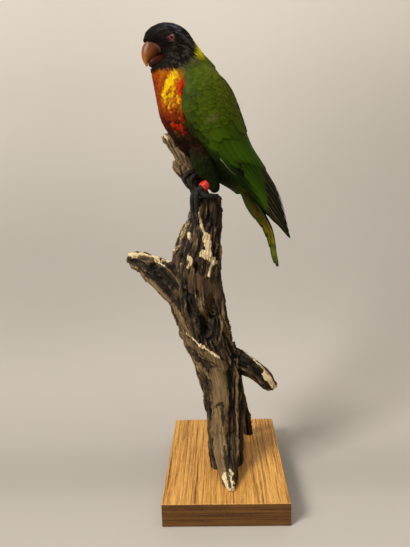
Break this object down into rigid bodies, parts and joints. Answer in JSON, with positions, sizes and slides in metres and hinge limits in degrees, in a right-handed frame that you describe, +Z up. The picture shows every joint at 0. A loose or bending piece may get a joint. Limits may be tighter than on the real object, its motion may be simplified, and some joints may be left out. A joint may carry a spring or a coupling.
{
  "type": "mounted parrot model",
  "caption": "Life-size mounted rainbow lorikeet gripping the top of a driftwood trunk, which stands on a rectangular oak board.",
  "frame": {"origin": "centre of the board's underside", "axes": "+Z up, -Y towards the board's front edge, +X towards the board's right edge as seen from the front; the bird faces mainly -X, turned 22 degrees towards the front"},
  "size_m": [0.1752, 0.175, 0.4798],
  "materials": {
    "oak": "oiled, satin",
    "driftwood": "weathered, matte",
    "hood": "feathered, soft sheen",
    "collar": "feathered, soft sheen",
    "breast": "feathered, soft sheen",
    "green": "feathered, soft sheen",
    "darkGreen": "feathered, soft sheen",
    "bill": "waxy",
    "eye": "polished glass eye, opaque",
    "scale": "dry, scaled",
    "ring": "satin"
  },
  "bodies": {
    "root": {"base_board": "oak", "driftwood": "driftwood", "head": "hood", "neck": "collar", "breast": "breast", "belly": "darkGreen", "mantle": "green", "bill_upper": "bill", "bill_lower": "bill", "eye_left": "eye", "eye_right": "eye", "tail": "green", "wing_left": "green", "wing_right": "green", "thigh_left": "darkGreen", "foot_left": "scale", "thigh_right": "darkGreen", "foot_right": "scale", "leg_ring": "ring"}
  },
  "joints": []
}
